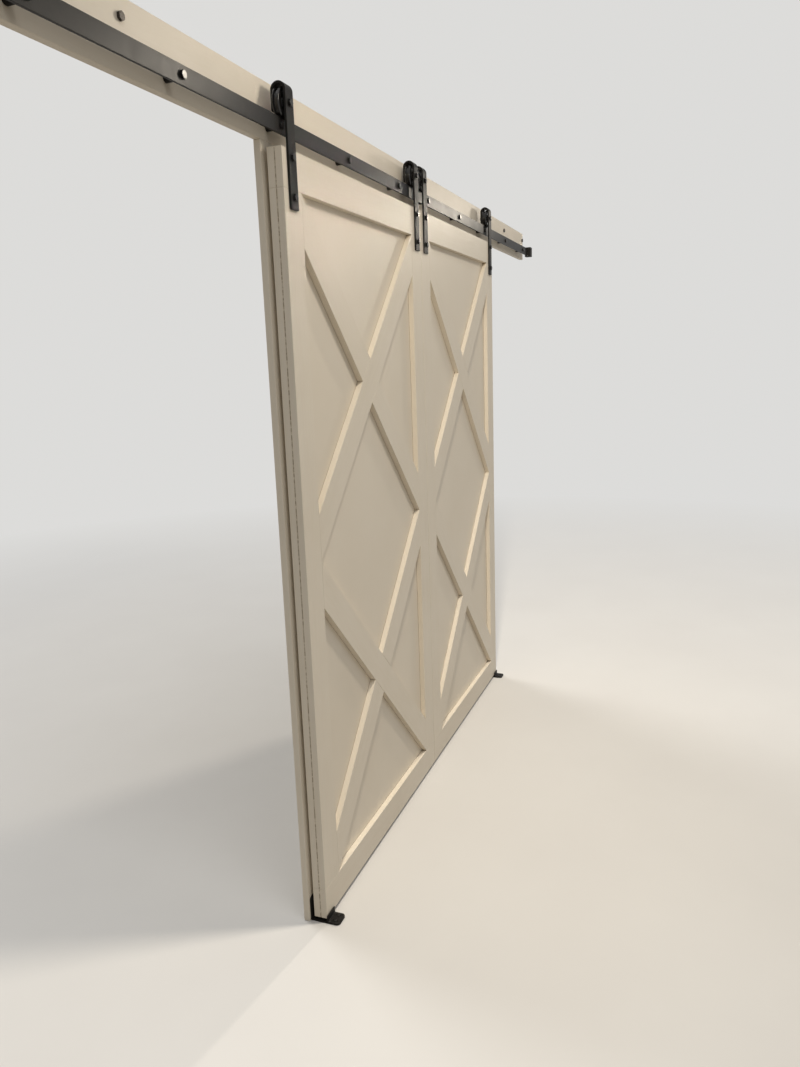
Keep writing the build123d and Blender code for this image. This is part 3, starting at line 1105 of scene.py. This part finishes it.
@dataclass
class Hanger:
    """A strap over its wheel, with the wheel and its bearing."""

    finishes: Finishes
    side: Side
    place: str
    thickness: float = 6 * MM
    corner: float = 3 * MM
    ease: float = 0.7 * MM
    bend_steps: int = 36
    back_drop: float = 19 * MM
    groove: float = 33 * MM
    flange: float = 38.5 * MM
    flange_cut: float = 2.5 * MM
    half_width: float = 10 * MM
    groove_half: float = 4 * MM
    flare: float = 1.2 * MM
    hub: float = 17 * MM
    rim: float = 27 * MM
    web: float = 2.5 * MM
    bearing: float = 13 * MM
    shoulder: float = 11 * MM
    bearing_half: float = 4 * MM
    bore: float = 5.05 * MM
    ring: float = 2.2 * MM
    seal_grip: float = 0.1 * MM
    seal_recess: float = 0.6 * MM
    seal_dish: float = 0.35 * MM
    seal_flanks: Point = (0.9 * MM, 0.5 * MM)

    def __post_init__(self) -> None:
        """Read the hanger's place from its nodes."""
        self.name = f"{self.side.prefix}{self.place}_"
        self.low, self.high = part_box(self.name + "strap")
        low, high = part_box(self.name + "wheel")
        self.axle = (low + high) / 2

    def build(self) -> None:
        """Build the strap, the wheel and the bearing."""
        body = self.name + "roller"
        seat = [from_front(*self.axle)]
        strap = Piece(self.name + "bent_strap", self.finishes.steel).add(self.strap())
        strap.finish(self.side.prefix + "leaf", "black_steel", self.name + "strap")
        wheel = Piece(self.name + "grooved_wheel", self.finishes.wheel).add(self.wheel(), places=seat)
        wheel.finish(body, "wheel_steel", self.name + "wheel")
        bearing = Piece(self.name + "sealed_bearing", self.finishes.ring, self.finishes.seal)
        races = [self.race(inner, inner + self.ring) for inner in (self.bore, self.bearing - self.ring)]
        bearing.add(*races, places=seat).add(self.seal(), places=seat, finish=1)
        bearing.finish(body, "bearing_steel", self.name + "bearing")

    def strap(self) -> BMesh:
        """A flat bar bent over the wheel: up in front, round and down behind."""
        bm = bmesh.new()
        low, high = self.low, self.high
        outer = (high.y - low.y) / 2
        centre = Vector((0, (high.y + low.y) / 2, high.z - outer))
        back_end = self.axle.z - self.back_drop
        front_y, inner_y = low.y, low.y + self.thickness
        corners = [(low.x, front_y), (high.x, front_y), (high.x, inner_y), (low.x, inner_y)]
        foot = bm.faces.new([bm.verts.new((x, y, low.z)) for x, y in corners])
        top = drawn(bm, foot, (0, 0, centre.z - low.z))
        bent = bmesh.ops.spin(bm, geom=[top], cent=centre, axis=(-1, 0, 0), angle=pi,
                              steps=self.bend_steps, use_duplicate=False)
        end = next(item for item in bent["geom_last"] if isinstance(item, BMFace))
        drawn(bm, end, (0, 0, back_end - centre.z))
        bmesh.ops.delete(bm, geom=[top, end], context="FACES_ONLY")
        bmesh.ops.remove_doubles(bm, verts=bm.verts[:], dist=MERGE)
        outward(bm)
        ends = edges_at(bm, False, z=low.z) + edges_at(bm, False, z=back_end)
        round_edges(bm, self.corner, 6, ends)
        round_edges(bm, self.ease)
        return bm

    def wheel(self) -> BMesh:
        """The grooved wheel about Z, shouldered at the back of its bearing."""
        half, groove, flange, cut = self.half_width, self.groove_half, self.flange, self.flange_cut
        outline = with_underside([
            (self.hub, half), (self.hub, half - self.web), (self.rim, half - self.web), (self.rim, half),
            (flange - cut, half), (flange, half - cut), (flange, groove + self.flare), (self.groove, groove),
        ])
        back = -self.bearing_half
        seat = [(self.shoulder, -half), (self.shoulder, back), (self.bearing, back)]
        return turned([(self.bearing, half)] + outline + seat, 96, 0.5 * MM)

    def race(self, inner: float, outer: float) -> BMesh:
        """One ring of the bearing about Z."""
        return tube(inner, outer, (self.bearing_half, -self.bearing_half), 64, 0.3 * MM)

    def seal(self) -> BMesh:
        """The seals between the rings, set back a little and dished."""
        inner = self.bore + self.ring - self.seal_grip
        outer = self.bearing - self.ring + self.seal_grip
        half = self.bearing_half - self.seal_recess
        dish = half - self.seal_dish
        middle = (inner + outer) / 2
        wide, narrow = self.seal_flanks
        return turned(with_underside([
            (inner, half), (middle - wide, half), (middle - narrow, dish), (middle + narrow, dish),
            (middle + wide, half), (outer, half),
        ]))


@dataclass
class LeafFixings:
    """What holds the hangers of one leaf: strap bolts, axle bolts, nuts and bushes."""

    finishes: Finishes
    side: Side
    hangers: list[Hanger]
    bolt_heights: Point = (5.5 * MM, -87.5 * MM)
    proud: float = 1 * MM
    bush_radius: float = 7 * MM
    bush_play: float = 0.1 * MM
    play: float = 0.2 * MM
    parts: HexFastener = HexFastener()

    def build(self, rolls: Random) -> None:
        """Build the fasteners of the leaf.

        Args:
            rolls: gives each head the turn that it was tightened to.
        """
        prefix, leaf, parts = self.side.prefix, self.side.prefix + "leaf", self.parts
        front = self.hangers[0].low.y
        strap_back = self.hangers[0].high.y
        leaf_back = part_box(prefix + "back_rails")[1].y
        axles = [(hanger.axle.x, self.hangers[0].axle.z) for hanger in self.hangers]
        bolts = [(x, z) for x, _ in axles for z in self.bolt_heights]
        nuts = [(x, strap_back, z) for x, z in axles] + [(x, leaf_back, z) for x, z in bolts]
        for name, places, back in (("axle_bolts", axles, strap_back), ("strap_bolts", bolts, leaf_back)):
            seats = [from_front(x, front, z, rolls.uniform(0, HEX_TURN)) for x, z in places]
            piece = Piece(prefix + "hex_" + name, self.finishes.bolts)
            piece.add(*parts.bolt(back - front + parts.nut + self.proud), places=seats)
            piece.finish(leaf, "black_steel", prefix + name)
        piece = Piece(prefix + "hex_nuts", self.finishes.bolts)
        piece.add(parts.nut_blank(), places=[from_back(*place, rolls.uniform(0, HEX_TURN)) for place in nuts])
        piece.finish(leaf, "black_steel", prefix + "nuts")
        self.bushes(axles)

    def bushes(self, axles: list[Point]) -> None:
        """Build the distance bushes from the strap's legs to the bearings.

        Args:
            axles: X and Z of the leaf's axles.
        """
        hanger = self.hangers[0]
        front = hanger.low.y + hanger.thickness
        back = hanger.high.y - hanger.thickness
        length = (back - front) / 2 - hanger.bearing_half - self.play
        bush = tube(self.parts.shank + self.bush_play, self.bush_radius, (0, length), 40, 0.4 * MM)
        seats = [from_back(x, front, z) for x, z in axles] + [from_front(x, back, z) for x, z in axles]
        piece = Piece(self.side.prefix + "axle_bushes", self.finishes.bolts).add(bush, places=seats)
        piece.finish(self.side.prefix + "leaf", "black_steel", self.side.prefix + "bushes")


@dataclass
class RailFixings:
    """Spacers and lag screws of the rail, and the header board's own lag screws."""

    finishes: Finishes
    first: float = 152.4 * MM
    pitch: float = 406.4 * MM
    count: int = 5
    spacer_radius: float = 10 * MM
    spacer_bore: float = 5.5 * MM
    bite: float = 17 * MM
    header_lags: Point = (1931.5 * MM, 1499.5 * MM)
    header_lag_height: float = 146.5 * MM
    header_reach: float = 44.5 * MM
    parts: HexFastener = HexFastener()

    def build(self, rolls: Random) -> None:
        """Build the spacers and screws, and dress the rail.

        Args:
            rolls: gives each head the turn that it was tightened to.
        """
        low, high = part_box("left_rail")
        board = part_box("header_board")[0].y
        middle = (low.z + high.z) / 2
        joint = high.x
        places = [joint + side.value * (self.first + number * self.pitch)
                  for number in range(self.count) for side in Side]
        length = board - high.y
        spacer = tube(self.spacer_bore, self.spacer_radius, (0, length), 56, 0.5 * MM)
        spacers = Piece("spacer_tubes", self.finishes.steel)
        spacers.add(spacer, places=[from_back(x, high.y, middle) for x in places])
        spacers.finish("frame", "black_steel", "rail_spacers")
        seats = [from_front(x, low.y, middle, rolls.uniform(0, HEX_TURN)) for x in places]
        lags = Piece("rail_lag_screws", self.finishes.bolts)
        lags.add(*self.parts.lag_screw(high.y - low.y + length, self.bite), places=seats)
        lags.finish("frame", "black_steel", "rail_screws")
        seats = [from_front(joint + side.value * x, board, self.header_lag_height, rolls.uniform(0, HEX_TURN))
                 for x in self.header_lags for side in Side]
        lags = Piece("header_lag_screws", self.finishes.lag)
        lags.add(*self.parts.lag_screw(-board, self.header_reach), places=seats)
        lags.finish("frame", "dark_steel", "header_screws")
        for side in Side:
            dress(side.prefix + "rail", self.finishes.rail)


@dataclass
class EndStops:
    """The block clamped on each end of the rail."""

    finishes: Finishes
    play: float = 0.3 * MM
    ease: float = 1.5 * MM
    screw_spacing: float = 20 * MM
    screw_recess: float = 1 * MM
    screw_play: float = 0.1 * MM
    bore_depth: float = 4 * MM
    inset: float = 2 * MM
    screw: SetScrew = SetScrew()

    def build(self) -> None:
        """Build both blocks and their set screws."""
        self.rail_low, self.rail_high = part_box("left_rail")
        seats = []
        for side in Side:
            low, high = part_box(side.prefix + "end_stop")
            middle = (low.x + high.x) / 2
            height = (self.rail_low.z + self.rail_high.z) / 2
            places = [(middle + step * self.screw_spacing / 2, height) for step in (-1, 1)]
            piece = Piece(side.prefix + "stop_block", self.finishes.steel).add(self.block(low, high, places))
            piece.finish("frame", "black_steel", side.prefix + "end_stop")
            seats += [from_front(x, low.y + self.screw_recess, z, x) for x, z in places]
        screws = Piece("socket_set_screws", self.finishes.bolts).add(self.screw.blank(), places=seats)
        screws.finish("frame", "black_steel", "stop_screws")

    def block(self, low: Vector, high: Vector, places: list[Point]) -> BMesh:
        """One block: eased, slotted for the rail and bored for its set screws.

        Args:
            low: its lowest corner.
            high: its highest corner.
            places: X and Z of its set screws.

        Returns:
            The solid.
        """
        bm = bmesh.new()
        bmesh.ops.create_cube(bm, size=1)
        bmesh.ops.scale(bm, vec=high - low, verts=bm.verts[:])
        bmesh.ops.translate(bm, vec=(high + low) / 2, verts=bm.verts[:])
        round_edges(bm, self.ease, 4)
        radius = self.screw.radius + self.screw_play
        circle = [(radius * cos(step * pi / 16), radius * sin(step * pi / 16)) for step in range(32)]
        mouths = [[Vector((x + a, low.y, z + b)) for a, b in circle] for x, z in places]
        pocket(bm, flat_face(bm, (0, -1, 0)), mouths, Vector((0, self.bore_depth, 0)))
        ends = [flat_face(bm, (way, 0, 0)) for way in (-1, 1)]
        slot_low = self.rail_low - Vector((0, self.play, self.play))
        slot_high = self.rail_high + Vector((0, self.play, self.play))
        for face in ends:
            bmesh.ops.inset_region(bm, faces=[face], thickness=self.inset, use_even_offset=True)
            centre = face.calc_center_median()
            for vert in face.verts:
                vert.co.y = slot_low.y if vert.co.y < centre.y else slot_high.y
                vert.co.z = slot_low.z if vert.co.z < centre.z else slot_high.z
        edges = [edge for face in ends for edge in face.edges]
        bmesh.ops.delete(bm, geom=ends, context="FACES_ONLY")
        bmesh.ops.bridge_loops(bm, edges=edges)
        return outward(bm)


@dataclass
class Guides:
    """The floor guides: a bracket on the casing and a lip in front of the leaf."""

    finishes: Finishes
    plate: float = 3 * MM
    bend: float = 2.5 * MM
    top_corner: float = 10 * MM
    foot_corner: float = 12 * MM
    slot_radius: float = 2.8 * MM
    slot_length: float = 16 * MM
    slot_floor: float = 0.05 * MM
    foot_spacing: float = 24 * MM
    screw_rises: Point = (32 * MM, 58 * MM)
    wood_depth: float = 14 * MM
    ease: float = 0.4 * MM
    screw: SmallScrew = SmallScrew()

    def build(self, rolls: Random) -> None:
        """Build both guides and their screws.

        Args:
            rolls: gives each screw the turn that it was tightened to.
        """
        bracket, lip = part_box("left_guide_bracket"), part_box("left_guide_lip")
        middle = (lip[0].x + lip[1].x) / 2
        slot_y = (lip[0].y + lip[1].y - self.plate) / 2
        slots = [(middle + step * self.foot_spacing / 2, slot_y) for step in (-1, 1)]
        for side in Side:
            for name, box, corner, mouths in (
                    ("guide_bracket", bracket, self.top_corner, []), ("guide_lip", lip, 0.0, slots)):
                solid = self.folded(*box, corner, mouths)
                if side is Side.RIGHT:
                    mirrored(solid)
                piece = Piece(f"{side.prefix}folded_{name}", self.finishes.steel).add(solid)
                piece.finish("frame", "black_steel", side.prefix + name)
        top = lip[0].z + self.plate
        down = [Matrix.Translation((-side.value * x, y, top)) @ Matrix.Rotation(rolls.uniform(0, pi), 4, "Z")
                for x, y in slots for side in Side]
        front = bracket[1].y - self.plate
        back = [from_front(-side.value * middle, front, FLOOR + rise, rolls.uniform(0, pi))
                for rise in self.screw_rises for side in Side]
        for name, seats, depth, node in (
                ("foot_pan_screws", down, 2 * self.plate, "guide_foot_screws"),
                ("wall_pan_screws", back, self.plate + self.wood_depth, "guide_wall_screws")):
            piece = Piece(name, self.finishes.bolts).add(*self.screw.whole(depth), places=seats)
            piece.finish("frame", "black_steel", node)

    def folded(self, low: Vector, high: Vector, corner: float, slots: list[Point]) -> BMesh:
        """A plate folded once, with its foot to the front.

        Args:
            low: the lowest corner of its box.
            high: the highest corner of its box.
            corner: the rounding of its upper corners.
            slots: the centres of the slots in its foot.

        Returns:
            The solid.
        """
        bm = bmesh.new()
        inner_y, inner_z = high.y - self.plate, low.z + self.plate
        section = [(low.y, low.z), (high.y, low.z), (high.y, high.z), (inner_y, high.z), (inner_y, inner_z),
                   (low.y, inner_z)]
        face = bm.faces.new([bm.verts.new((low.x, y, z)) for y, z in section])
        drawn(bm, face, (high.x - low.x, 0, 0))
        outward(bm)
        outer = edges_at(bm, True, y=high.y, z=low.z)
        round_edges(bm, self.bend, 8, edges_at(bm, True, y=inner_y, z=inner_z))
        round_edges(bm, self.bend + self.plate, 8, outer)
        round_edges(bm, self.foot_corner, 10, edges_at(bm, False, y=low.y))
        if corner:
            round_edges(bm, corner, 10, edges_at(bm, False, z=high.z))
        if slots:
            mouths = [self.slot(x, y, inner_z) for x, y in slots]
            pocket(bm, flat_face(bm, (0, 0, 1)), mouths, Vector((0, 0, self.slot_floor - self.plate)))
        round_edges(bm, self.ease, 2, sharp_edges(bm, 60.0))
        return outward(bm)

    def slot(self, x: float, y: float, z: float) -> list[Vector]:
        """The outline of a slot across the foot.

        Args:
            x: its centre's X.
            y: its centre's Y.
            z: its height.

        Returns:
            The outline's corners.
        """
        radius = self.slot_radius
        reach = self.slot_length / 2 - radius
        outline = []
        for step in range(24):
            angle = (step + 0.5) * pi / 12
            way = reach if sin(angle) > 0 else -reach
            outline.append(Vector((x + radius * cos(angle), y + radius * sin(angle) + way, z)))
        return outline


# Studio


@dataclass(frozen=True)
class Lamp:
    """A lamp of the studio, with the place or the direction that its light comes from."""

    name: str
    strength: float
    source: Place

    def hang(self, kind: str, colour: Place) -> bpy.types.Object:
        """Add the lamp to the scene.

        Args:
            kind: Blender's type of the lamp.
            colour: the colour of its light.

        Returns:
            The lamp.
        """
        data = bpy.data.lights.new(self.name, kind)
        data.energy = self.strength
        data.color = colour
        lamp = bpy.data.objects.new(self.name, data)
        bpy.context.scene.collection.objects.link(lamp)
        return lamp


@dataclass(frozen=True)
class SmallLamp(Lamp):
    """A small round lamp, whose light doesn't weaken with distance."""

    radius: float = 0.055
    colour: Place = (1.0, 0.90, 0.755)

    def build(self) -> None:
        """Hang the lamp at its source. The camera doesn't see it."""
        lamp = self.hang("POINT", self.colour)
        lamp.location = self.source
        lamp.visible_camera = False
        lamp.data.shadow_soft_size = self.radius
        lamp.data.use_nodes = True
        tree = lamp.data.node_tree
        even = tree.nodes.new("ShaderNodeLightFalloff")
        even.inputs["Strength"].default_value = 1.0
        tree.links.new(even.outputs["Constant"], tree.nodes["Emission"].inputs["Strength"])


@dataclass(frozen=True)
class SoftLight(Lamp):
    """A wide even light from far away."""

    angle: float = 25.0
    colour: Place = (1.0, 0.98, 0.95)

    def build(self) -> None:
        """Turn the light so that it comes from its source."""
        lamp = self.hang("SUN", self.colour)
        lamp.data.angle = radians(self.angle)
        lamp.rotation_euler = Vector(self.source).to_track_quat("Z", "Y").to_euler()


@dataclass
class Studio:
    """Floor, pale surroundings, lamps and camera."""

    pale: Colour = rgb(0.72, 0.715, 0.70)
    floor_near: Colour = rgb(0.66, 0.65, 0.635)
    floor_bounce: Colour = rgb(0.30, 0.28, 0.25)
    floor_shade: Pattern = Pattern(2.0, 3)
    floor_roughness: float = 0.6
    floor_drop: float = 0.2 * MM
    floor_radius: float = 16.0
    clear_radius: float = 2.4
    fade_radius: float = 7.0
    ambient: float = 0.31
    ambient_colour: Colour = rgb(1, 0.975, 0.935)
    lamps: tuple[SmallLamp | SoftLight, ...] = (
        SmallLamp("near_lamp", 16.8, (-0.8, -0.47, 0.31)),
        SmallLamp("far_lamp", 7.5, (1.77, -0.47, 0.31)),
        SoftLight("front_light", 0.5, (-0.25, -0.4, 0.8)),
        SoftLight("back_light", 1.0, (0.3, 0.7, 0.65)),
    )
    eye: Place = (-2.92418, -1.07961, -0.49482)
    right: Place = (0.35287, -0.93506, -0.0339)
    up: Place = (0.20526, 0.04201, 0.97781)
    back: Place = (-0.91288, -0.352, 0.20675)
    lens: float = 27.633
    sensor: float = 36.0

    def build(self) -> None:
        """Build the floor, the world, the lamps and the camera."""
        self.floor()
        self.world()
        for lamp in self.lamps:
            lamp.build()
        self.camera()
        bpy.context.scene.view_settings.view_transform = "Standard"

    def floor(self) -> None:
        """A pale floor that fades into the surroundings, and throws little light back up."""
        bm = bmesh.new()
        bmesh.ops.create_circle(bm, cap_ends=True, segments=96, radius=self.floor_radius,
                                matrix=Matrix.Translation((0, 0, FLOOR - self.floor_drop)))
        mesh = bpy.data.meshes.new("studio_floor")
        bm.to_mesh(mesh)
        bm.free()
        graph = Surface("pale_floor")
        seen = graph.seen()
        near = graph.mix(graph.noise(self.floor_shade), self.floor_near, self.pale)
        mesh.materials.append(graph.set(
            Base_Color=graph.mix(seen, self.floor_bounce, near), Roughness=self.floor_roughness))
        away = graph.node("ShaderNodeVectorMath", operation="LENGTH")
        graph.link(graph.place(), away.inputs[0])
        far = graph.ramp(away.outputs["Value"], self.clear_radius, self.fade_radius)
        glow = graph.node("ShaderNodeEmission")
        glow.inputs["Color"].default_value = self.pale
        fade = graph.maths("MULTIPLY", far, seen)
        graph.blend(fade, graph.surface.outputs["BSDF"], glow.outputs["Emission"])
        floor = bpy.data.objects.new("studio_floor", mesh)
        bpy.context.scene.collection.objects.link(floor)

    def world(self) -> None:
        """Pale surroundings to the eye and to reflections, and a soft even light."""
        world = bpy.data.worlds.new("pale_studio")
        world.use_nodes = True
        graph = Graph(world.node_tree, "ShaderNodeOutputWorld")
        shades = []
        for colour, strength in ((self.ambient_colour, self.ambient), (self.pale, 1.0)):
            shade = graph.node("ShaderNodeBackground")
            shade.inputs["Color"].default_value = colour
            shade.inputs["Strength"].default_value = strength
            shades.append(shade.outputs["Background"])
        graph.blend(graph.seen(), *shades)
        bpy.context.scene.world = world

    def camera(self) -> None:
        """The photograph's viewpoint."""
        data = bpy.data.cameras.new("camera")
        data.sensor_fit = "AUTO"
        data.sensor_width = self.sensor
        data.lens = self.lens
        camera = bpy.data.objects.new("camera", data)
        turn = Matrix((self.right, self.up, self.back)).transposed()
        camera.matrix_world = Matrix.Translation(self.eye) @ turn.to_4x4()
        bpy.context.scene.collection.objects.link(camera)
        bpy.context.scene.camera = camera


def main() -> None:
    """Build the pieces, the studio and the camera in order."""
    logging.basicConfig(level=logging.INFO, format="%(message)s")
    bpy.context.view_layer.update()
    rolls = Random(11)
    finishes = Finishes()
    Woodwork(finishes).build()
    for side in Side:
        hangers = [Hanger(finishes, side, place) for place in ("outer", "inner")]
        for hanger in hangers:
            hanger.build()
        LeafFixings(finishes, side, hangers).build(rolls)
    RailFixings(finishes).build(rolls)
    EndStops(finishes).build()
    Guides(finishes).build(rolls)
    Studio().build()


if __name__ == "__main__":
    main()
